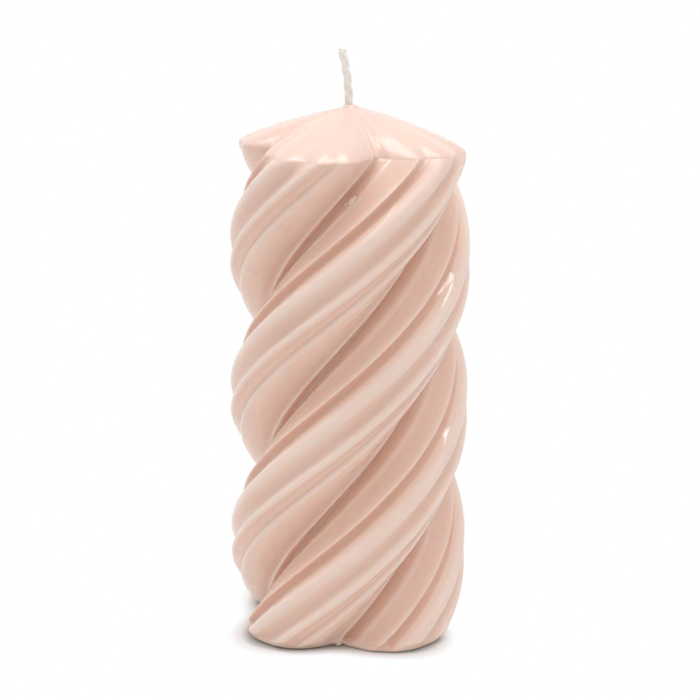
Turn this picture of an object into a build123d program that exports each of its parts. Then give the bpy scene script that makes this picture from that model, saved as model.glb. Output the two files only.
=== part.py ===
from build123d import *

import os
from math import cos, radians, sin

# Twisted pillar candle: a cast wax body, a cotton wick and the metal sustainer that holds it.
# The base stands on Z = 0 and the candle's axis is Z. Sizes are millimetres and degrees.

# Wax body: four strands that turn to the right as they climb
BODY_RADIUS = 35.0
RIM_HEIGHT = 144.8
TWIST = 294.2
STRAND_COUNT = 4
BASE_ANGLE = 42.0

# Section of one strand: twin ridges with a soft dip between them, and a lower flute on either side.
# The upper side faces up the candle and the lower side faces down.
# Depths are measured inwards from the ridge crests, angles from the dip.
TWIN_DIP = 1.7
UPPER_RIDGE_ANGLE = 9.5
UPPER_CREASE_ANGLE = 23.5
UPPER_CREASE_DEPTH = 4.4
UPPER_CREST_ANGLE = 28.8
UPPER_CREST_DEPTH = 3.4
UPPER_FLUTE_ANGLE = 36.5
UPPER_FLUTE_DEPTH = 6.0
LOWER_RIDGE_ANGLE = 6.5
LOWER_CREASE_ANGLE = 17.0
LOWER_CREASE_DEPTH = 3.3
LOWER_CREST_ANGLE = 19.8
LOWER_CREST_DEPTH = 2.8
LOWER_FLUTE_ANGLE = 29.0
LOWER_FLUTE_DEPTH = 6.1
LIP_ANGLE = 39.5
LIP_DEPTH = 9.5
TWIN_FILLET = 7.0
CREASE_FILLET = 0.6
CREST_FILLET = 0.8
LIP_FILLET = 0.6

# Deep groove between two strands: a steep wall under the lower flute's lip, then a narrow floor
GROOVE_DEPTH = 11.2
WALL_FOOT_ANGLE = 42.0
GROOVE_FLOOR_ANGLE = 5.4
GROOVE_FILLET = 0.6

# Shallow dome: a power below 1 makes it fuller towards the rim
DOME_RISE = 11.1
DOME_POWER = 0.72
DOME_TIP_RADIUS = 2.0
DOME_RINGS = 5

# Wax drawn up round the wick where it leaves the dome: its root is sunk in the dome's tip
COLLAR_RADIUS = 3.2
COLLAR_SINK = 0.6
COLLAR_RISE = 1.0
COLLAR_WALL = 0.4

# Wick: its free tail bends where it leaves the collar and again at a knee.
# Each rise and lean is measured from the end of the run below.
WICK_RADIUS = 1.25
WICK_BEND_RADIUS = 9.0
KNEE_RISE = 7.0
KNEE_LEAN = 1.0
TAIL_RISE = 8.0
TAIL_LEAN = 0.5

# Stamped metal sustainer, let into the base
SUSTAINER_RADIUS = 10.0
SUSTAINER_THICKNESS = 0.4
SUSTAINER_RECESS = 0.8
NECK_WALL = 0.4
NECK_RISE = 6.0
NECK_ROOT_FILLET = 0.5

strand_angle = 360.0 / STRAND_COUNT
strand_dips = [BASE_ANGLE + strand * strand_angle for strand in range(STRAND_COUNT)]
toe_angle = strand_angle - WALL_FOOT_ANGLE - GROOVE_FLOOR_ANGLE
helix_pitch = RIM_HEIGHT * 360.0 / TWIST
tip_share = DOME_TIP_RADIUS / BODY_RADIUS
dome_tip = RIM_HEIGHT + DOME_RISE
collar_top = dome_tip + COLLAR_RISE
collar_top_radius = WICK_RADIUS + COLLAR_WALL
collar_height = COLLAR_SINK + COLLAR_RISE
tail_root = collar_top + WICK_BEND_RADIUS * KNEE_LEAN / KNEE_RISE / 2
knee_height = tail_root + KNEE_RISE
tail_height = knee_height + TAIL_RISE
sustainer_top = SUSTAINER_RECESS + SUSTAINER_THICKNESS
neck_top = sustainer_top + NECK_RISE
neck_radius = WICK_RADIUS + NECK_WALL


def polar(depth, angle):
    """Point of the section at this depth below the ridge crests."""
    radius = BODY_RADIUS - depth
    return (radius * cos(radians(angle)), radius * sin(radians(angle)))


def round_corners(depth, angle, radius):
    """Round the corner that every strand has at this depth and at this angle from its dip."""
    points = [polar(depth, dip_angle + angle) for dip_angle in strand_dips]
    fillet([section.vertices().sort_by_distance(point)[0] for point in points], radius)


# Section across the four strands
with BuildSketch() as section:
    with BuildLine():
        for dip_angle in strand_dips:
            toe = polar(GROOVE_DEPTH, dip_angle - toe_angle)
            upper_flute = polar(UPPER_FLUTE_DEPTH, dip_angle - UPPER_FLUTE_ANGLE)
            upper_crest = polar(UPPER_CREST_DEPTH, dip_angle - UPPER_CREST_ANGLE)
            upper_crease = polar(UPPER_CREASE_DEPTH, dip_angle - UPPER_CREASE_ANGLE)
            upper_ridge = polar(0, dip_angle - UPPER_RIDGE_ANGLE)
            dip = polar(TWIN_DIP, dip_angle)
            lower_ridge = polar(0, dip_angle + LOWER_RIDGE_ANGLE)
            lower_crease = polar(LOWER_CREASE_DEPTH, dip_angle + LOWER_CREASE_ANGLE)
            lower_crest = polar(LOWER_CREST_DEPTH, dip_angle + LOWER_CREST_ANGLE)
            lower_flute = polar(LOWER_FLUTE_DEPTH, dip_angle + LOWER_FLUTE_ANGLE)
            lip = polar(LIP_DEPTH, dip_angle + LIP_ANGLE)
            wall_foot = polar(GROOVE_DEPTH, dip_angle + WALL_FOOT_ANGLE)
            next_toe = polar(GROOVE_DEPTH, dip_angle + strand_angle - toe_angle)
            ThreePointArc(toe, upper_flute, upper_crest)
            Line(upper_crest, upper_crease)
            ThreePointArc(upper_crease, upper_ridge, dip)
            ThreePointArc(dip, lower_ridge, lower_crease)
            Line(lower_crease, lower_crest)
            ThreePointArc(lower_crest, lower_flute, lip)
            Line(lip, wall_foot)
            Line(wall_foot, next_toe)
    make_face()
    round_corners(TWIN_DIP, 0, TWIN_FILLET)
    round_corners(UPPER_CREASE_DEPTH, -UPPER_CREASE_ANGLE, CREASE_FILLET)
    round_corners(LOWER_CREASE_DEPTH, LOWER_CREASE_ANGLE, CREASE_FILLET)
    round_corners(UPPER_CREST_DEPTH, -UPPER_CREST_ANGLE, CREST_FILLET)
    round_corners(LOWER_CREST_DEPTH, LOWER_CREST_ANGLE, CREST_FILLET)
    round_corners(LIP_DEPTH, LIP_ANGLE, LIP_FILLET)
    round_corners(GROOVE_DEPTH, WALL_FOOT_ANGLE, GROOVE_FILLET)
    round_corners(GROOVE_DEPTH, -toe_angle, GROOVE_FILLET)

# Line of the axis and the helix that turns the section as it climbs
with BuildLine() as axis:
    Line((0, 0, 0), (0, 0, RIM_HEIGHT))
with BuildLine() as strand_helix:
    Helix(helix_pitch, RIM_HEIGHT, BODY_RADIUS)

# Metal sustainer: a flat disc with a neck crimped round the wick
with BuildPart() as wick_sustainer:
    with BuildSketch(Plane.XY.offset(SUSTAINER_RECESS)):
        Circle(SUSTAINER_RADIUS)
    extrude(amount=SUSTAINER_THICKNESS)
    with BuildSketch(Plane.XY.offset(sustainer_top)):
        Circle(neck_radius)
    extrude(amount=NECK_RISE)
    circles = wick_sustainer.edges().filter_by(GeomType.CIRCLE)
    neck_root = circles.group_by(Axis.Z)[-2].sort_by(SortBy.RADIUS)[0]
    fillet(neck_root, NECK_ROOT_FILLET)
    with Locations((0, 0, neck_top)):
        Hole(WICK_RADIUS)
wick_sustainer.part.label = "wick_sustainer"

# Wax body, cast round the wick and recessed for the sustainer
with BuildPart() as wax_body:
    add(section.sketch)
    sweep(path=axis.line, binormal=strand_helix.wire())
    for ring in range(DOME_RINGS + 1):
        inward = (ring / DOME_RINGS) ** 2
        height = RIM_HEIGHT + DOME_RISE * inward ** DOME_POWER
        with BuildSketch(Plane.XY.offset(height).rotated((0, 0, TWIST))):
            add(section.sketch)
            scale(by=1 - inward * (1 - tip_share))
    loft()
    with Locations((0, 0, collar_top)):
        Cone(COLLAR_RADIUS, collar_top_radius, collar_height, align=(Align.CENTER, Align.CENTER, Align.MAX))
    with Locations((0, 0, collar_top)):
        Hole(WICK_RADIUS)
    with BuildSketch():
        Circle(SUSTAINER_RADIUS)
    extrude(amount=SUSTAINER_RECESS, mode=Mode.SUBTRACT)
    add(wick_sustainer.part, mode=Mode.SUBTRACT)
wax_body.part.label = "wax_body"

# Wick, from the sustainer to the end of its free tail
with BuildPart() as wick:
    with BuildLine() as route:
        FilletPolyline(
            (0, 0, SUSTAINER_RECESS),
            (0, 0, tail_root),
            (-KNEE_LEAN, 0, knee_height),
            (-KNEE_LEAN - TAIL_LEAN, 0, tail_height),
            radius=WICK_BEND_RADIUS,
        )
    with BuildSketch(Plane.XY.offset(SUSTAINER_RECESS)):
        Circle(WICK_RADIUS)
    sweep()
wick.part.label = "wick"

os.makedirs("parts", exist_ok=True)
for piece in (wax_body, wick, wick_sustainer):
    export_step(piece.part, f"parts/{piece.part.label}.step")
    print(piece.part.label, len(piece.part.solids()), round(piece.part.volume, 1))
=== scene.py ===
"""Looks of a twisted pillar candle: glossy blush wax, a braided cotton wick and its tinplate sustainer.

Everything is in metres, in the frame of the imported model: the base on Z = 0, the candle's axis on Z.
"""

import math
import random

import bmesh
import bpy
from mathutils import Matrix, Vector, noise
from mathutils.bvhtree import BVHTree


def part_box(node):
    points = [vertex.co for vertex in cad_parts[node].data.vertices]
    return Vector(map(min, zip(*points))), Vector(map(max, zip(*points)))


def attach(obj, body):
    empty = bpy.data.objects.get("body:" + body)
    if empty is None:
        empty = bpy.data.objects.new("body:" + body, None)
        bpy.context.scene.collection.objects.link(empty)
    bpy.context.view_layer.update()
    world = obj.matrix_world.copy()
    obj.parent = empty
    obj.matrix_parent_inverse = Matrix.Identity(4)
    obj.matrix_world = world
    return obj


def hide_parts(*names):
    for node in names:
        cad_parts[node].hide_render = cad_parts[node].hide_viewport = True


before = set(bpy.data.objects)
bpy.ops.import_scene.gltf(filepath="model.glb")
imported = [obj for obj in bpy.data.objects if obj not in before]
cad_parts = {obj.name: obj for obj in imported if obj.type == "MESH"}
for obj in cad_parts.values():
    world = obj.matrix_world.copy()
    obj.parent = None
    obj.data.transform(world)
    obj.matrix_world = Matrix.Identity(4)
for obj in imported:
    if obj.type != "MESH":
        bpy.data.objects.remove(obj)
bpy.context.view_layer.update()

MM = 0.001
BODY = "root"
BASE_MIDDLE = (0, 0, 0)
UPRIGHT = (0, 0, 1)

# Wax body: the twist, the rim and the dome
_, wax_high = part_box("wax_body")
BODY_RADIUS = 35.0 * MM
RIM_HEIGHT = 144.8 * MM
TWIST = math.radians(292.5)
BASE_ANGLE = math.radians(41.0)
TWIST_LEAD = math.radians(2.6)
LEAD_START = 75 * MM
LEAD_END = 150 * MM
STRAND_COUNT = 4
STRAND_ANGLE = math.tau / STRAND_COUNT
COLLAR_TOP = wax_high.z
COLLAR_RISE = 1.0 * MM
DOME_TIP = COLLAR_TOP - COLLAR_RISE
DOME_POWER = 0.72

# Wick and sustainer
_, wick_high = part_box("wick")
WICK_RADIUS = wick_high.y
sustainer_low, sustainer_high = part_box("wick_sustainer")
SUSTAINER_RADIUS = sustainer_high.x
SUSTAINER_RECESS = sustainer_low.z
NECK_TOP = sustainer_high.z

# Camera, fitted to the candle's outline in the photograph
PHOTO_WIDTH = 700
CAMERA_TARGET = Vector((0, 0, 83.79 * MM))
CAMERA_DISTANCE = 703.25 * MM
CAMERA_ELEVATION = math.radians(14.262)
CAMERA_ROLL = math.radians(0.395)
FOCAL_PIXELS = 2380.5
CENTRE_OFFSET_PIXELS = -0.6
SENSOR_WIDTH = 36.0
CAMERA_AWAY = Vector((0, -math.cos(CAMERA_ELEVATION), math.sin(CAMERA_ELEVATION)))
CAMERA_PLACE = CAMERA_TARGET + CAMERA_AWAY * CAMERA_DISTANCE
CAMERA_TURN = (-CAMERA_AWAY).to_track_quat("-Z", "Y").to_matrix() @ Matrix.Rotation(CAMERA_ROLL, 3, "Z")

# Drops of wax: the pixel of the photograph, the size in millimetres and the slant in degrees
WAX_DROPS = (
    ((353, 201), (3.3, 2.2, 1.5), 42),
    ((347, 205), (1.3, 1.0, 1.0), 30),
    ((339, 643), (2.2, 1.2, 1.0), 10),
    ((349, 640), (1.6, 0.9, 0.8), -20),
)
DROP_LIFT = 0.2
DROP_LUMP_HEIGHT = 0.25 * MM
DROP_LUMP_SIZE = 0.9 * MM

# Rough marks in the wax, by pixels of the photograph
ROUGH_MARKS = ((304, 199), (282, 229), (251, 270), (248, 414), (447, 274), (444, 420))
MARK_RADIUS = 2.6 * MM
MARK_CORE = 0.3 * MARK_RADIUS


# Shader sockets in Python expressions

DIRECT_RAYS = ("Is Camera Ray", "Is Glossy Ray", "Is Transmission Ray")
COLOUR_MIX_FACTOR = 0
COLOUR_MIX_FIRST = 6
COLOUR_MIX_SECOND = 7
COLOUR_MIX_RESULT = 2


class Socket:
    """A shader socket that takes part in Python expressions on values."""

    def __init__(self, tree, socket=None):
        self.tree = tree
        self.socket = socket

    def node(self, kind, settings=None, inputs=None, output=0):
        """Add a node of this kind, with its settings first and then its sockets' values or links."""
        made = self.tree.nodes.new(kind)
        for name, setting in (settings or {}).items():
            setattr(made, name, setting)
        for name, given in (inputs or {}).items():
            if isinstance(given, Socket):
                self.tree.links.new(given.socket, made.inputs[name])
            else:
                made.inputs[name].default_value = given
        return Socket(self.tree, None if output is None else made.outputs[output])

    def maths(self, operation, first, second=0.0):
        return self.node("ShaderNodeMath", {"operation": operation}, {0: first, 1: second})

    def __add__(self, other):
        return self.maths("ADD", self, other)

    def __radd__(self, other):
        return self.maths("ADD", other, self)

    def __sub__(self, other):
        return self.maths("SUBTRACT", self, other)

    def __rsub__(self, other):
        return self.maths("SUBTRACT", other, self)

    def __mul__(self, other):
        return self.maths("MULTIPLY", self, other)

    def __rmul__(self, other):
        return self.maths("MULTIPLY", other, self)

    def between(self, low, high):
        """Smooth step of this value from low to high."""
        settings = {"interpolation_type": "SMOOTHSTEP"}
        return self.node("ShaderNodeMapRange", settings, {"Value": self, "From Min": low, "From Max": high})

    def band(self, low, high, soft):
        """One between these two angles in degrees and zero outside, with soft edges."""
        low, high, soft = (math.radians(angle) for angle in (low, high, soft))
        return self.between(low - soft, low + soft) * (1 - self.between(high - soft, high + soft))

    def place(self):
        """Object coordinates."""
        return self.node("ShaderNodeTexCoord", output="Object")

    def part(self, vector, axis):
        """One of a vector's numbers, by the name of its axis."""
        return self.node("ShaderNodeSeparateXYZ", None, {"Vector": vector}, axis)

    def noise(self, coordinates, scale, detail, roughness=0.5):
        inputs = {"Vector": coordinates, "Scale": scale, "Detail": detail, "Roughness": roughness}
        return self.node("ShaderNodeTexNoise", None, inputs)

    def mix(self, factor, first, second):
        """Mix of two colours."""
        inputs = {COLOUR_MIX_FACTOR: factor, COLOUR_MIX_FIRST: first, COLOUR_MIX_SECOND: second}
        return self.node("ShaderNodeMix", {"data_type": "RGBA"}, inputs, COLOUR_MIX_RESULT)

    def bump(self, height, strength, distance, normal=None):
        inputs = {"Height": height, "Strength": strength, "Distance": distance}
        if normal:
            inputs["Normal"] = normal
        return self.node("ShaderNodeBump", None, inputs)

    def seen_directly(self):
        """One for rays from the camera, also by way of a mirror or glass, and zero for other light."""
        seen, mirrored, through = (self.node("ShaderNodeLightPath", output=ray) for ray in DIRECT_RAYS)
        return self.node("ShaderNodeClamp", None, {"Value": seen + mirrored + through})

    def surface(self, kind, inputs):
        """Shader of this kind, as the look of the material."""
        self.node("ShaderNodeOutputMaterial", None, {"Surface": self.node(kind, None, inputs)}, None)


def empty_tree(owner):
    """The socket class on the emptied node tree of a material or a world."""
    owner.use_nodes = True
    owner.node_tree.nodes.clear()
    return Socket(owner.node_tree)


def rgb(red, green, blue):
    return (red, green, blue, 1)


# Blush wax. Scales of textures are per metre.
WARM_WAX = rgb(0.872, 0.626, 0.515)
LIGHT_WAX = rgb(0.897, 0.666, 0.56)
# Painted highlight and sheen, laid on the ridge flanks, crests and lips of each strand
PAINTED_HIGHLIGHT_WAX = rgb(0.925, 0.757, 0.676)
# Painted shade, laid in the creases, flutes and dip of each strand
PAINTED_SHADE_WAX = rgb(0.79, 0.48, 0.36)
# Painted shade, laid deepest in the groove between the strands
PAINTED_GROOVE_SHADE_WAX = rgb(0.76, 0.42, 0.29)
DOME_WAX = rgb(0.84, 0.615, 0.53)
CLOUD_SCALE = 34
STREAK_SCALE = 620
STREAK_STRETCH = 0.12
WET_SCALE = 1900
GRAIN_SCALE = 1500
MARK_SCALE = 900
DOME_TONE_SHARE = 0.8
DOME_TONE_START = RIM_HEIGHT - 6 * MM
DOME_TONE_FULL = RIM_HEIGHT + 2 * MM
WALL_TONE_START = 0.2 * MM
WALL_TONE_FULL = 2 * MM

# Painted light across a strand: a band of angles in degrees, the softness of its edges, its share and its
# colour. The colours are painted shade in the creases, flutes, dip and groove, and painted highlights and
# sheen on the ridges, crests and lips.
STRAND_START = math.radians(-39.7)
PAINTED_LIGHT_BANDS = (
    (-38.0, -30.0, 2.0, 0.35, PAINTED_SHADE_WAX),
    (-29.2, -27.6, 0.6, 0.35, PAINTED_HIGHLIGHT_WAX),
    (-26.6, -19.4, 0.6, 0.85, PAINTED_SHADE_WAX),
    (-17.6, -7.5, 1.6, 0.6, PAINTED_HIGHLIGHT_WAX),
    (-5.0, 3.4, 2.5, 0.3, PAINTED_SHADE_WAX),
    (4.8, 10.0, 1.2, 0.7, PAINTED_HIGHLIGHT_WAX),
    (10.8, 13.6, 0.6, 0.35, PAINTED_SHADE_WAX),
    (11.2, 18.0, 0.7, 0.35, PAINTED_SHADE_WAX),
    (16.6, 18.2, 0.4, 0.6, PAINTED_SHADE_WAX),
    (18.3, 22.6, 1.2, 0.5, PAINTED_HIGHLIGHT_WAX),
    (34.0, 39.0, 2.5, 0.25, PAINTED_SHADE_WAX),
    (39.3, 40.2, 0.4, 0.5, PAINTED_HIGHLIGHT_WAX),
    (40.8, 45.5, 0.8, 0.35, PAINTED_GROOVE_SHADE_WAX),
    (42.0, 48.0, 2.0, 0.15, PAINTED_GROOVE_SHADE_WAX),
    (49.3, 51.0, 0.3, 0.6, PAINTED_HIGHLIGHT_WAX),
)


def strand_place(wire, place):
    """Angle from the dip of the strand that a point lies on, and the point's height."""
    x, y, z = (wire.part(place, axis) for axis in "XYZ")
    turned = wire.maths("ARCTAN2", y, x) - TWIST_LEAD * z.between(LEAD_START, LEAD_END)
    turned = turned - TWIST / RIM_HEIGHT * wire.maths("MINIMUM", z, RIM_HEIGHT)
    shifted = turned - (BASE_ANGLE + STRAND_START)
    return wire.maths("FLOORED_MODULO", shifted, STRAND_ANGLE) + STRAND_START, z


def wax_colour(wire, place, angle, height):
    """Faint clouds, a separate tone mixed in over the dome, and painted shade and highlights in bands
    across each strand.
    """
    clouds = wire.noise(place, CLOUD_SCALE, 3)
    colour = wire.mix(clouds.between(0.35, 0.68), WARM_WAX, LIGHT_WAX)
    on_dome = height.between(DOME_TONE_START, DOME_TONE_FULL)
    on_wall = height.between(WALL_TONE_START, WALL_TONE_FULL) - on_dome
    colour = wire.mix(DOME_TONE_SHARE * on_dome, colour, DOME_WAX)
    # Painted shade and painted highlights, in bands across each strand, on the wall only
    for low, high, soft, share, tone in PAINTED_LIGHT_BANDS:
        colour = wire.mix(share * on_wall * angle.band(low, high, soft), colour, tone)
    return colour


def rough_marks(wire, place, marks):
    """Lumpy height at the rough marks and zero elsewhere."""
    rough = 0.0
    for mark in marks:
        near = wire.node("ShaderNodeVectorMath", {"operation": "DISTANCE"}, {0: place, 1: mark}, "Value")
        rough = 1 - near.between(MARK_CORE, MARK_RADIUS) + rough
    return rough * wire.noise(place, MARK_SCALE, 3, 0.6)


def blush_wax(marks):
    material = bpy.data.materials.new("blush_wax")
    wire = empty_tree(material)
    place = wire.place()
    angle, height = strand_place(wire, place)
    along = {"X": BODY_RADIUS * angle, "Y": STREAK_STRETCH * height}
    drawn_out = wire.node("ShaderNodeCombineXYZ", None, along)
    streaks = wire.noise(drawn_out, STREAK_SCALE, 3, 0.6)
    wet = wire.noise(drawn_out, WET_SCALE, 4, 0.7).between(0.38, 0.62)
    grain = wire.noise(place, GRAIN_SCALE, 2)
    relief = wire.bump(streaks, 0.16, 0.3 * MM)
    relief = wire.bump(grain, 0.05, 0.05 * MM, relief)
    relief = wire.bump(rough_marks(wire, place, marks), 0.9, 0.6 * MM, relief)
    wire.surface("ShaderNodeBsdfPrincipled", {
        "Base Color": wax_colour(wire, place, angle, height),
        "Roughness": 0.3 + 0.12 * streaks + 0.05 * grain,
        "IOR": 1.45,
        "Subsurface Weight": 0.6,
        "Subsurface Radius": (1.0, 0.4, 0.22),
        "Subsurface Scale": 1.2 * MM,
        "Coat Weight": 0.25 + 0.75 * wet,
        "Coat Roughness": 0.05,
        "Normal": relief,
    })
    return material


# Wick's cotton, waxed towards its root
SHADED_COTTON = rgb(0.92, 0.87, 0.78)
LIGHT_COTTON = rgb(0.98, 0.95, 0.89)
WAXED_COTTON = rgb(0.92, 0.76, 0.66)
WAXED_SHARE = 0.25
WAXED_TOP = COLLAR_TOP + 11 * MM
FIBRE_SCALE = 5200
FIBRE_STRETCH = (1.0, 1.0, 0.07)


def wick_cotton():
    material = bpy.data.materials.new("wick_cotton")
    wire = empty_tree(material)
    place = wire.place()
    drawn_out = wire.node("ShaderNodeMapping", None, {"Vector": place, "Scale": FIBRE_STRETCH})
    fibres = wire.noise(drawn_out, FIBRE_SCALE, 3, 0.6)
    waxed = 1 - wire.part(place, "Z").between(COLLAR_TOP, WAXED_TOP)
    colour = wire.mix(fibres.between(0.3, 0.6), SHADED_COTTON, LIGHT_COTTON)
    wire.surface("ShaderNodeBsdfPrincipled", {
        "Base Color": wire.mix(WAXED_SHARE * waxed, colour, WAXED_COTTON),
        "Roughness": 0.85 - 0.3 * waxed,
        "Sheen Weight": 0.3,
        "Normal": wire.bump(fibres, 0.5, 0.1 * MM),
    })
    return material


# Sustainer's tinplate
DULL_TIN = rgb(0.52, 0.52, 0.50)
BRIGHT_TIN = rgb(0.72, 0.72, 0.70)
SPANGLE_SCALE = 600
SMEAR_SCALE = 260


def stamped_tinplate():
    material = bpy.data.materials.new("stamped_tinplate")
    wire = empty_tree(material)
    place = wire.place()
    cells = {"Vector": place, "Scale": SPANGLE_SCALE}
    spangle = wire.node("ShaderNodeTexVoronoi", {"feature": "F1"}, cells)
    smears = wire.noise(place, SMEAR_SCALE, 4, 0.6)
    wire.surface("ShaderNodeBsdfPrincipled", {
        "Base Color": wire.mix(smears.between(0.4, 0.7), DULL_TIN, BRIGHT_TIN),
        "Metallic": 1.0,
        "Roughness": 0.22 + 0.25 * smears + 0.1 * spangle,
        "Normal": wire.bump(smears, 0.15, 0.1 * MM),
    })
    return material


# Section of one strand, from the groove above it to the groove below it.
# Depths are millimetres below the ridge crests, angles are degrees from the dip between the twin ridges.
GROOVE_FLOOR = (13.4, -45.6)
SLOT_WALL = (11.6, -42.5)
SLOT_EDGE = (8.6, -39.5)
UPPER_FLUTE_LOW = (8.15, -38.0)
UPPER_FLUTE_MIDDLE = (6.16, -33.6)
UPPER_FLUTE_TOP = (4.08, -29.0)
UPPER_FLUTE_CREST = (3.45, -27.6)
UPPER_FACET = (3.75, -26.4)
UPPER_CREASE = (4.6, -22.4)
UPPER_FLANK_FOOT = (3.9, -20.6)
UPPER_FLANK_TOP = (0.9, -15.7)
UPPER_SHOULDER = (0.3, -13.6)
UPPER_RIDGE = (-0.05, -9.5)
TWIN_DIP = (1.7, 1.2)
LOWER_RIDGE = (-0.05, 8.2)
LOWER_SHOULDER = (0.4, 10.5)
LOWER_STEP = (1.65, 14.2)
LOWER_CREASE = (2.95, 18.2)
LOWER_FLUTE_CREST = (2.75, 20.2)
LOWER_FLUTE_MIDDLE = (4.9, 26.8)
LOWER_FLUTE_LOW = (8.6, 33.0)
LOWER_FLUTE_FOOT = (10.9, 37.4)
LIP = (10.9, 40.0)
WALL_FOOT = (13.1, 42.2)
STRAND_OUTLINE = (
    GROOVE_FLOOR, SLOT_WALL, SLOT_EDGE, UPPER_FLUTE_LOW, UPPER_FLUTE_MIDDLE, UPPER_FLUTE_TOP,
    UPPER_FLUTE_CREST, UPPER_FACET, UPPER_CREASE, UPPER_FLANK_FOOT, UPPER_FLANK_TOP, UPPER_SHOULDER,
    UPPER_RIDGE, TWIN_DIP, LOWER_RIDGE, LOWER_SHOULDER, LOWER_STEP, LOWER_CREASE, LOWER_FLUTE_CREST,
    LOWER_FLUTE_MIDDLE, LOWER_FLUTE_LOW, LOWER_FLUTE_FOOT, LIP, WALL_FOOT,
)


def smooth_step(value, low, high):
    share = min(max((value - low) / (high - low), 0.0), 1.0)
    return share * share * (3 - 2 * share)


def outline_knots():
    """Angle and radius of the outline's points, with points of the strands beside it at either end."""
    points = [(math.radians(angle), BODY_RADIUS - depth * MM) for depth, angle in STRAND_OUTLINE]
    first = (points[-1][0] - STRAND_ANGLE, points[-1][1])
    last = [(angle + STRAND_ANGLE, radius) for angle, radius in points[:2]]
    return [first, *points, *last]


def outline_slopes(knots):
    """Slopes that make a smooth curve through the points, level at its crests and dips."""
    slopes = [0.0]
    for before, here, after in zip(knots, knots[1:], knots[2:]):
        rise_in = (here[1] - before[1]) / (here[0] - before[0])
        rise_out = (after[1] - here[1]) / (after[0] - here[0])
        if rise_in * rise_out <= 0:
            slopes.append(0.0)
        else:
            slopes.append(2 * rise_in * rise_out / (rise_in + rise_out))
    return slopes + [0.0]


OUTLINE_KNOTS = outline_knots()
OUTLINE_SLOPES = outline_slopes(OUTLINE_KNOTS)


def section_radius(angle):
    """Distance of the wax surface from the axis, by the angle from a strand's dip."""
    start = OUTLINE_KNOTS[1][0]
    angle = (angle - start) % STRAND_ANGLE + start
    at = 1
    while OUTLINE_KNOTS[at + 1][0] <= angle:
        at += 1
    low, high = OUTLINE_KNOTS[at], OUTLINE_KNOTS[at + 1]
    width = high[0] - low[0]
    share = (angle - low[0]) / width
    bend = smooth_step(share, 0, 1)
    lean_low = OUTLINE_SLOPES[at] * width * share * (1 - share) ** 2
    lean_high = OUTLINE_SLOPES[at + 1] * width * share ** 2 * (1 - share)
    return low[1] + (high[1] - low[1]) * bend + lean_low - lean_high


def outline_angles(count, fine=4000, turn_weight=1.4 * MM):
    """Angles across one strand, closer together where its outline turns sharply."""
    angles = [STRAND_ANGLE * i / fine - STRAND_ANGLE / 2 for i in range(fine + 1)]
    points = [Vector((math.cos(a), math.sin(a))) * section_radius(a) for a in angles]
    spacing = [0.0]
    heading = None
    for before, after in zip(points, points[1:]):
        step = after - before
        turn = 0.0 if heading is None else step.angle(heading)
        heading = step
        spacing.append(spacing[-1] + step.length + turn_weight * turn)
    chosen = []
    at = 0
    for i in range(count):
        while spacing[at] < spacing[-1] * i / count:
            at += 1
        chosen.append(angles[at])
    return chosen


# Wall: points across a strand, and bands that are stacked up the axis
STRAND_POINTS = 100
BAND_COUNT = 9
BAND_STEPS = 18
FOOT_HEIGHT = 3.0 * MM
FOOT_STEPS = 12
RIM_BAND = 4.0 * MM
RIM_STEPS = 14
TINY = 0.001 * MM

# Softened foot: how far its flutes are evened out, over how many degrees, and its rounded edge
FOOT_EVEN = 0.8
FOOT_REACH = 12
MELT_LOW = 1.4 * MM
MELT_HIGH = 2.8 * MM
EDGE_ROUNDING = 1.9 * MM

# Softened rim, likewise. Its edge is drawn in more on the ridges than in the flutes.
RIM_EVEN = 0.45
RIM_REACH = 5
RIM_MELT = 10 * MM
RIM_ROUNDING = 3.2 * MM
RIM_ARC = 0.8
RIM_INSET = 2.4 * MM
FLUTE_INSET = 0.4
INSET_FLUTE_RADIUS = 29 * MM
INSET_RIDGE_RADIUS = 34.5 * MM

# Dome: rings that are closer near the rim, and flutes that fade and end round at the tip
DOME_RINGS = 34
DOME_SPACING = 1.7
TIP_RADIUS = 3.3 * MM
FLUTE_FADE = 0.3
ROUND_START = 0.7

# Unevenness of the cast surface
BROAD_RIPPLE = 0.14 * MM
BROAD_RIPPLE_SIZE = 13 * MM
SMALL_RIPPLE = 0.02 * MM
SMALL_RIPPLE_SIZE = 4.2 * MM
SMALL_RIPPLE_SHIFT = Vector((7, 3, 1))

# Collar of wax drawn up on the wick.
# Each ring has a radius, a rise above the dome and a lean with the wick, in millimetres.
COLLAR_RINGS = (
    (2.4, 0.12, 0.0),
    (2.15, 0.34, -0.1),
    (1.85, 0.64, -0.25),
    (1.55, 0.88, -0.4),
    (1.25, 0.98, -0.55),
    (0.9, 0.94, -0.6),
)

# Bore for the wick and seat of the sustainer
BORE_RADIUS = WICK_RADIUS - 0.45 * MM
SEAT_RADIUS = BORE_RADIUS + 0.5 * MM
SEAT_HEIGHT = SUSTAINER_RECESS + 0.4 * MM


def polar(radius, angle, height):
    return Vector((radius * math.cos(angle), radius * math.sin(angle), height))


def turn_of(vert):
    """Angle of a point round the axis."""
    return math.atan2(vert.co.y, vert.co.x)


def reach_of(vert):
    """Distance of a point from the axis."""
    return vert.co.xy.length


def ring_at(bm, height):
    """Edges of the ring at this height."""
    level = {vert for vert in bm.verts if abs(vert.co.z - height) < TINY}
    return [edge for edge in bm.edges if level.issuperset(edge.verts)]


def next_ring(bm, loop):
    """Extrude a ring of edges in place: the new ring's edges and its points."""
    made = bmesh.ops.extrude_edge_only(bm, edges=loop)["geom"]
    points = [element for element in made if isinstance(element, bmesh.types.BMVert)]
    edges = [element for element in made if isinstance(element, bmesh.types.BMEdge)]
    fresh = set(points)
    return [edge for edge in edges if fresh.issuperset(edge.verts)], points


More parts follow.
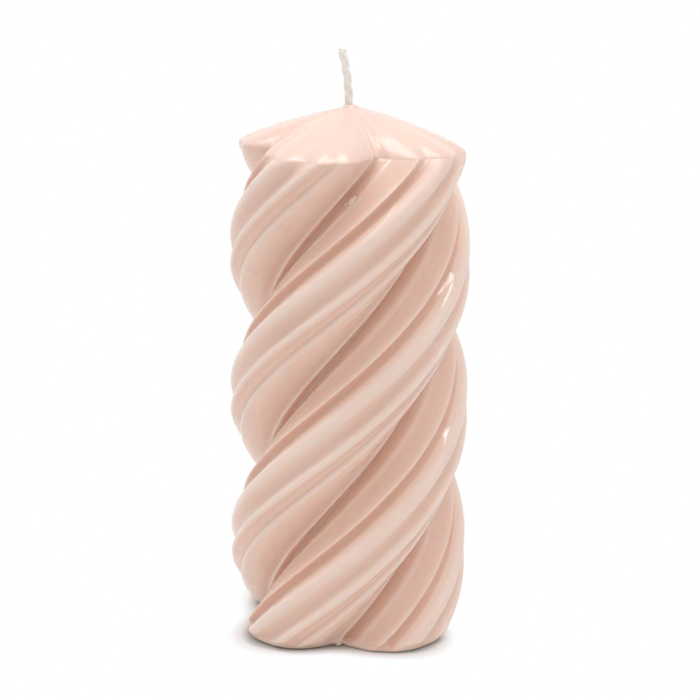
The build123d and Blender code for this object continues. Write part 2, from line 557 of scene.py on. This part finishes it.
def round_ring(bm, loop, radius, height, lean=0.0):
    """Extrude a ring onto a circle round the axis, or beside it by the lean."""
    loop, points = next_ring(bm, loop)
    for point in points:
        point.co = polar(radius, turn_of(point), height) + Vector((lean, 0, 0))
    return loop


def mesh_from(bm, name):
    """Mesh of this name from a bmesh, which ends here."""
    mesh = bpy.data.meshes.new(name)
    bm.to_mesh(mesh)
    bm.free()
    return mesh


def section_ring(bm):
    """Ring of points on the section across the four strands, at the base."""
    strand = outline_angles(STRAND_POINTS)
    angles = [BASE_ANGLE + turn * STRAND_ANGLE + angle for turn in range(STRAND_COUNT) for angle in strand]
    ring = bmesh.ops.create_circle(bm, cap_ends=False, segments=len(angles), radius=BODY_RADIUS)["verts"]
    for vert, angle in zip(ring, angles):
        vert.co = polar(section_radius(angle - BASE_ANGLE), angle, 0)


def twisted_band(height, steps):
    """Mesh of the section swept up the axis by this height, with the candle's twist."""
    bm = bmesh.new()
    section_ring(bm)
    bmesh.ops.spin(
        bm, geom=bm.verts[:] + bm.edges[:], cent=BASE_MIDDLE, axis=UPRIGHT, dvec=(0, 0, height / steps),
        angle=TWIST * height / RIM_HEIGHT, steps=steps, use_merge=False, use_duplicate=False,
    )
    return mesh_from(bm, "band")


def stack_band(bm, band, height):
    """Add a band of the wall at this height, turned to meet the one below."""
    below = len(bm.verts)
    bm.from_mesh(band)
    bm.verts.ensure_lookup_table()
    fresh = bm.verts[below:]
    turn = Matrix.Rotation(TWIST * height / RIM_HEIGHT, 3, "Z")
    bmesh.ops.rotate(bm, verts=fresh, cent=BASE_MIDDLE, matrix=turn)
    bmesh.ops.translate(bm, verts=fresh, vec=(0, 0, height))


def twist_lead(height):
    """How far the strands have turned ahead of the even twist at this height."""
    return TWIST_LEAD * smooth_step(height, LEAD_START, LEAD_END)


def strand_turn(height):
    """Turn of the section at this height."""
    return BASE_ANGLE + TWIST * min(height, RIM_HEIGHT) / RIM_HEIGHT + twist_lead(height)


def twisted_wall(bm):
    """Stack the bands from the foot to the rim, then let the upper ones lead."""
    height = (RIM_HEIGHT - FOOT_HEIGHT - RIM_BAND) / BAND_COUNT
    bands = [(FOOT_HEIGHT, FOOT_STEPS), *[(height, BAND_STEPS)] * BAND_COUNT, (RIM_BAND, RIM_STEPS)]
    meshes = {band: twisted_band(*band) for band in set(bands)}
    level = 0.0
    for band in bands:
        stack_band(bm, meshes[band], level)
        level += band[0]
    bmesh.ops.remove_doubles(bm, verts=bm.verts[:], dist=TINY)
    for vert in bm.verts:
        vert.co.rotate(Matrix.Rotation(twist_lead(vert.co.z), 3, "Z"))
    for mesh in meshes.values():
        bpy.data.meshes.remove(mesh)


def even_radius(angle, reach, steps=8):
    """Radius of the section with its flutes and ridges evened out over this many degrees to either side."""
    turns = [math.radians(reach * i / steps) for i in range(-steps, steps + 1)]
    return sum(section_radius(angle + turn) for turn in turns) / len(turns)


def rim_inset(radius):
    """How far the rounded upper edge would draw the wall in: most on the ridges."""
    ridge = smooth_step(radius, INSET_FLUTE_RADIUS, INSET_RIDGE_RADIUS)
    return RIM_INSET * (FLUTE_INSET + (1 - FLUTE_INSET) * ridge)


def rounded(share):
    """Inset of a rounded edge at this share of its height, as a share of its full inset."""
    return 1 - math.sqrt(1 - min(max(share, 0), 1) ** 2)


def soften_ends(bm):
    """Melt the wall at both ends: flutes filled in, ridges lowered and the edges rounded."""
    for vert in bm.verts:
        height = vert.co.z
        if FOOT_HEIGHT < height < RIM_HEIGHT - RIM_MELT:
            continue
        angle = turn_of(vert)
        section_angle = angle - strand_turn(height)
        foot = FOOT_EVEN * (1 - smooth_step(height, MELT_LOW, MELT_HIGH))
        rim = RIM_EVEN * smooth_step(height, RIM_HEIGHT - RIM_MELT, RIM_HEIGHT)
        radius = reach_of(vert)
        radius += foot * (even_radius(section_angle, FOOT_REACH) - radius)
        radius += rim * (even_radius(section_angle, RIM_REACH) - radius)
        radius -= EDGE_ROUNDING * rounded(1 - height / EDGE_ROUNDING)
        radius -= rim_inset(radius) * rounded(RIM_ARC * ((height - RIM_HEIGHT) / RIM_ROUNDING + 1))
        vert.co = polar(radius, angle, height)


def dome(bm, loop):
    """Draw the top ring in to the wick, with flutes that soften on the way."""
    rise = DOME_TIP - RIM_HEIGHT
    ring = {vert for edge in loop for vert in edge.verts}
    mean = sum(reach_of(vert) for vert in ring) / len(ring)
    for i in range(1, DOME_RINGS + 1):
        inward = (i / DOME_RINGS) ** DOME_SPACING
        share = 1 - inward * (1 - TIP_RADIUS / BODY_RADIUS)
        even = FLUTE_FADE * inward + (1 - FLUTE_FADE) * smooth_step(inward, ROUND_START, 1)
        height = RIM_HEIGHT + rise * inward ** DOME_POWER
        loop, points = next_ring(bm, loop)
        for point in points:
            angle = turn_of(point)
            section_angle = angle - strand_turn(RIM_HEIGHT)
            section = section_radius(section_angle)
            section += RIM_EVEN * (even_radius(section_angle, RIM_REACH) - section)
            section -= rim_inset(section) * rounded(RIM_ARC)
            point.co = polar(share * (section + even * (mean - section)), angle, height)
    return loop


def ripple(bm):
    """Unevenness of the cast surface."""
    for vert in bm.verts:
        outward = Vector((vert.co.x, vert.co.y, 0)).normalized()
        broad = noise.noise(vert.co / BROAD_RIPPLE_SIZE)
        small = noise.noise(vert.co / SMALL_RIPPLE_SIZE + SMALL_RIPPLE_SHIFT)
        vert.co += outward * (BROAD_RIPPLE * broad + SMALL_RIPPLE * small)


def wax_mesh():
    """Wall, dome and collar, then the bore from the top and the sustainer's seat from below."""
    bm = bmesh.new()
    twisted_wall(bm)
    soften_ends(bm)
    foot = ring_at(bm, 0)
    loop = dome(bm, ring_at(bm, RIM_HEIGHT))
    ripple(bm)
    for radius, rise, lean in COLLAR_RINGS:
        loop = round_ring(bm, loop, radius * MM, DOME_TIP + rise * MM, lean * MM)
    loop = round_ring(bm, loop, BORE_RADIUS, NECK_TOP)
    inner = round_ring(bm, foot, SUSTAINER_RADIUS, 0)
    inner = round_ring(bm, inner, SUSTAINER_RADIUS, SEAT_HEIGHT)
    inner = round_ring(bm, inner, SEAT_RADIUS, SEAT_HEIGHT)
    bmesh.ops.bridge_loops(bm, edges=loop + inner)
    bmesh.ops.recalc_face_normals(bm, faces=bm.faces[:])
    return bm


def seen_place(tree, pixel):
    """Point of the surface that a pixel of the photograph shows, and the outward direction there."""
    across = (pixel[0] - PHOTO_WIDTH / 2 - CENTRE_OFFSET_PIXELS) / FOCAL_PIXELS
    down = (pixel[1] - PHOTO_WIDTH / 2) / FOCAL_PIXELS
    point, normal, _, _ = tree.ray_cast(CAMERA_PLACE, CAMERA_TURN @ Vector((across, -down, -1)))
    return point, normal


def wax_drop(bm, place, size, slant):
    """Add a drop of wax that sits on the surface, long across the picture at this slant."""
    point, outward = place
    along = CAMERA_TURN @ polar(1, math.radians(slant), 0)
    along = (along - outward * along.dot(outward)).normalized()
    turn = Matrix((along, outward.cross(along), outward)).transposed().to_4x4()
    lift = Matrix.Translation(point + outward * DROP_LIFT * size[2] * MM)
    stretch = Matrix.Diagonal((*(Vector(size) * MM / 2), 1))
    drop = bmesh.ops.create_icosphere(bm, subdivisions=3, radius=1, matrix=lift @ turn @ stretch)["verts"]
    for vert in drop:
        vert.co += outward * DROP_LUMP_HEIGHT * noise.noise(vert.co / DROP_LUMP_SIZE)


# Wick: three braided strands along one smooth route, frayed at the end. The route is in millimetres.
ROUTE = (
    (0, 0, 0.9),
    (0, 0, 140.0),
    (-0.5, 0, 155.0),
    (-0.7, 0, 159.0),
    (-1.1, 0, 164.6),
    (-1.7, 0, 168.0),
    (-2.7, 0, 172.4),
)
ROUTE_FINENESS = 40
BRAID_STRANDS = 3
STRAND_RADIUS = 0.74 * MM
STRAND_FINENESS = 3
BRAID_WIDTH = 0.5 * MM
BRAID_DEPTH = 0.2 * MM
BRAID_PITCH = 13.0 * MM
BRAID_STEP = 0.5 * MM

# Frayed fibres at the wick's end, in millimetres: roots within a spread, leans and reaches from there
FIBRE_COUNT = 26
FIBRE_SEED = 4
FIBRE_SPREAD_X = 0.8
FIBRE_SPREAD_Y = 0.6
FIBRE_SINK = 0.8
FIBRE_LEAN = 0.45
FIBRE_REACHES = (0.9, 1.5)
FIBRE_RADII = (0.05, 0.11)
FIBRE_BEND = 0.2


def nurbs_curve(name, points, fineness, bevel=0.0):
    """Smooth curve with these control points, and a round cord along it if it has a bevel."""
    curve = bpy.data.curves.new(name, "CURVE")
    curve.dimensions = "3D"
    spline = curve.splines.new("NURBS")
    spline.points.add(len(points) - 1)
    for control, point in zip(spline.points, points):
        control.co = (*point, 1)
    spline.order_u = 3
    spline.use_endpoint_u = True
    curve.bevel_depth = bevel
    curve.bevel_resolution = 2
    curve.resolution_u = fineness
    curve.use_fill_caps = True
    return curve


def curve_mesh(curve):
    carrier = bpy.data.objects.new(curve.name, curve)
    mesh = bpy.data.meshes.new_from_object(carrier)
    bpy.data.objects.remove(carrier)
    return mesh


def even_points(line, step):
    """Points at even steps along a line of points, with the direction at each."""
    spots = []
    ahead = 0.0
    for start, end in zip(line, line[1:]):
        run = end - start
        while ahead <= run.length:
            spots.append((start + run.normalized() * ahead, run.normalized()))
            ahead += step
        ahead -= run.length
    return spots


def braid_strand(spots, start):
    """Control points of one strand of the braid, which starts at this share of the pitch."""
    points = []
    for index, (spot, ahead) in enumerate(spots):
        across = Vector((0, 1, 0)).cross(ahead).normalized()
        phase = math.tau * (index * BRAID_STEP / BRAID_PITCH + start)
        side = across * BRAID_WIDTH * math.sin(phase)
        points.append(spot + side + Vector((0, BRAID_DEPTH * math.sin(2 * phase), 0)))
    return points


def wick_mesh():
    route = curve_mesh(nurbs_curve("wick_route", [Vector(point) * MM for point in ROUTE], ROUTE_FINENESS))
    spots = even_points([vert.co.copy() for vert in route.vertices], BRAID_STEP)
    bm = bmesh.new()
    for strand in range(BRAID_STRANDS):
        points = braid_strand(spots, strand / BRAID_STRANDS)
        bm.from_mesh(curve_mesh(nurbs_curve("wick_strand", points, STRAND_FINENESS, STRAND_RADIUS)))
    tip, ahead = spots[-1]
    rng = random.Random(FIBRE_SEED)
    for _ in range(FIBRE_COUNT):
        root_x = rng.uniform(-FIBRE_SPREAD_X, FIBRE_SPREAD_X)
        root_y = rng.uniform(-FIBRE_SPREAD_Y, FIBRE_SPREAD_Y)
        lean_x = rng.uniform(-FIBRE_LEAN, FIBRE_LEAN)
        lean_y = rng.uniform(-FIBRE_LEAN, FIBRE_LEAN)
        root = tip + Vector((root_x, root_y, -FIBRE_SINK)) * MM
        lean = Vector((lean_x, lean_y, 0)) * MM
        reach = ahead * rng.uniform(*FIBRE_REACHES) * MM
        fibre = [root, root + reach / 2 + lean * FIBRE_BEND, root + reach + lean]
        radius = rng.uniform(*FIBRE_RADII) * MM
        bm.from_mesh(curve_mesh(nurbs_curve("wick_fibre", fibre, STRAND_FINENESS, radius)))
    return bm


# Sustainer: a stamped disc with a pressed ring and a neck crimped on the wick.
# Its profile has a radius and a height at each point, in millimetres.
SUSTAINER_PROFILE = (
    (1.35, 7.1), (1.6, 7.15), (1.62, 2.2), (1.85, 1.55), (2.4, 1.3), (5.6, 1.2), (6.2, 1.05), (7.4, 1.05),
    (8.0, 1.2), (9.6, 1.2), (9.95, 1.0), (9.6, 0.8), (8.1, 0.8), (7.5, 0.84), (6.1, 0.84), (5.5, 0.8),
    (2.2, 0.8), (1.6, 0.95), (1.35, 1.5),
)
SUSTAINER_STEPS = 64
LONG_EDGE = 2 * MM
LONG_EDGE_CUTS = 5
NECK_ROOT = 2.2 * MM
CRIMP_HEIGHTS = (3.4 * MM, 5.4 * MM)
CRIMP_WIDTH = 0.5 * MM
CRIMP_DEPTH = 0.1


def sustainer_mesh():
    bm = bmesh.new()
    ring = [bm.verts.new((radius * MM, 0, height * MM)) for radius, height in SUSTAINER_PROFILE]
    for first, second in zip(ring, ring[1:] + ring[:1]):
        bm.edges.new((first, second))
    long_edges = [edge for edge in bm.edges if edge.calc_length() > LONG_EDGE]
    bmesh.ops.subdivide_edges(bm, edges=long_edges, cuts=LONG_EDGE_CUTS)
    bmesh.ops.spin(
        bm, geom=bm.verts[:] + bm.edges[:], cent=BASE_MIDDLE, axis=UPRIGHT, dvec=(0, 0, 0),
        angle=math.tau, steps=SUSTAINER_STEPS, use_merge=True, use_duplicate=False,
    )
    for vert in bm.verts:
        if vert.co.z > NECK_ROOT:
            away = [(vert.co.z - height) / CRIMP_WIDTH for height in CRIMP_HEIGHTS]
            vert.co.y *= 1 - CRIMP_DEPTH * sum(math.exp(-share ** 2) for share in away)
    bmesh.ops.recalc_face_normals(bm, faces=bm.faces[:])
    return bm


# Pieces

def new_object(name, data):
    """Object with this data, linked to the scene."""
    made = bpy.data.objects.new(name, data)
    bpy.context.scene.collection.objects.link(made)
    return made


def finish_piece(bm, name, material, slot, *nodes):
    """Piece with its look, on its body and in place of its solid."""
    mesh = mesh_from(bm, name)
    mesh.shade_smooth()
    mesh.materials.append(material)
    piece = new_object(name, mesh)
    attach(piece, BODY)
    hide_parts(*nodes)


wax = wax_mesh()
wax_surface = BVHTree.FromBMesh(wax)
for pixel, size, slant in WAX_DROPS:
    wax_drop(wax, seen_place(wax_surface, pixel), size, slant)
wax_look = blush_wax([seen_place(wax_surface, pixel)[0] for pixel in ROUGH_MARKS])
finish_piece(wax, "candle_wax", wax_look, "wax", "wax_body")
finish_piece(wick_mesh(), "braided_wick", wick_cotton(), "cotton", "wick")
finish_piece(sustainer_mesh(), "stamped_sustainer", stamped_tinplate(), "tinplate", "wick_sustainer")


# Stage: a white floor and surround, and soft lamps
WHITE = rgb(1, 1, 1)
FLOOR_GREY = rgb(0.92, 0.92, 0.92)
# SHADOW_GREY, SHADOW_SHIFT and SHADOW_WIDTH paint a contact shadow into the floor's colour round the foot,
# shifted a little to one side
SHADOW_GREY = rgb(0.6, 0.6, 0.6)
FLOOR_SIZE = 3
FOOT_MEAN_RADIUS = 29.5 * MM
FOOT_LOBE_RISE = 4.9 * MM
SHADOW_SHIFT = (0.6 * MM, 0.2 * MM, 0)
SHADOW_WIDTH = 3 * MM
WHITE_START = 1 * MM
WHITE_FULL = 8 * MM
WORLD_LIGHT = 0.62

# Each lamp's place, the height on the axis that it points at, its size and its power
LAMPS = {
    "top_softbox": ((-0.02, 0.03, 0.95), 0.1, (0.5, 0.5), 2.9),
    "left_key": ((-0.6, 0.04, 0.94), 0.12, (0.25, 0.2), 0.9),
    "right_key": ((0.33, -0.31, 1.0), 0.08, (0.24, 0.11), 0.85),
    "right_strip": ((0.75, -0.45, 0.45), 0.08, (0.05, 0.25), 0.36),
    "left_strip": ((-0.8, -0.3, 0.4), 0.08, (0.1, 0.3), 0.2),
}


def white_floor():
    """White floor, a light itself where the camera sees it, but for the contact shadow at the foot, which
    is partly rendered and partly a painted shadow in the floor's darker grey colour there.
    """
    material = bpy.data.materials.new("white_floor")
    wire = empty_tree(material)
    place = wire.node("ShaderNodeMapping", None, {"Vector": wire.place(), "Location": SHADOW_SHIFT})
    turn = wire.maths("ARCTAN2", wire.part(place, "Y"), wire.part(place, "X"))
    distance = wire.node("ShaderNodeVectorMath", {"operation": "LENGTH"}, {0: place}, "Value")
    lobes = wire.maths("COSINE", STRAND_COUNT * (turn - BASE_ANGLE))
    gap = distance - FOOT_MEAN_RADIUS - FOOT_LOBE_RISE * lobes
    # Painted shadow: the floor's colour darkens to grey near the foot
    shade = wire.mix(gap.between(0, SHADOW_WIDTH), SHADOW_GREY, FLOOR_GREY)
    matt = wire.node("ShaderNodeBsdfDiffuse", None, {"Color": shade})
    white = wire.node("ShaderNodeEmission", None, {"Color": WHITE, "Strength": 1.0})
    share = wire.seen_directly() * gap.between(WHITE_START, WHITE_FULL)
    wire.surface("ShaderNodeMixShader", {0: share, 1: matt, 2: white})
    return material


def studio_world():
    """Surround that lights the candle at a plain level and is white where it is seen."""
    world = bpy.data.worlds.new("studio")
    bpy.context.scene.world = world
    wire = empty_tree(world)
    light = WORLD_LIGHT + (1 - WORLD_LIGHT) * wire.seen_directly()
    background = wire.node("ShaderNodeBackground", None, {"Color": WHITE, "Strength": light})
    wire.node("ShaderNodeOutputWorld", None, {"Surface": background}, None)


def lamp(name, place, aim_height, size, power):
    """Soft rectangular lamp that points at the candle's axis."""
    data = bpy.data.lights.new(name, "AREA")
    data.shape = "RECTANGLE"
    data.size, data.size_y = size
    data.energy = power
    softbox = new_object(name, data)
    softbox.location = place
    aim = Vector((0, 0, aim_height)) - Vector(place)
    softbox.rotation_euler = aim.to_track_quat("-Z", "Y").to_euler()


floor_grid = bmesh.new()
bmesh.ops.create_grid(floor_grid, x_segments=1, y_segments=1, size=FLOOR_SIZE)
floor = new_object("floor", mesh_from(floor_grid, "floor"))
floor.data.materials.append(white_floor())
studio_world()
for name, settings in LAMPS.items():
    lamp(name, *settings)

camera_data = bpy.data.cameras.new("camera")
camera_data.sensor_width = SENSOR_WIDTH
camera_data.lens = FOCAL_PIXELS * SENSOR_WIDTH / PHOTO_WIDTH
camera_data.shift_x = -CENTRE_OFFSET_PIXELS / PHOTO_WIDTH
camera = new_object("camera", camera_data)
camera.location = CAMERA_PLACE
camera.rotation_euler = CAMERA_TURN.to_euler()
bpy.context.scene.camera = camera
bpy.context.scene.view_settings.view_transform = "Standard"
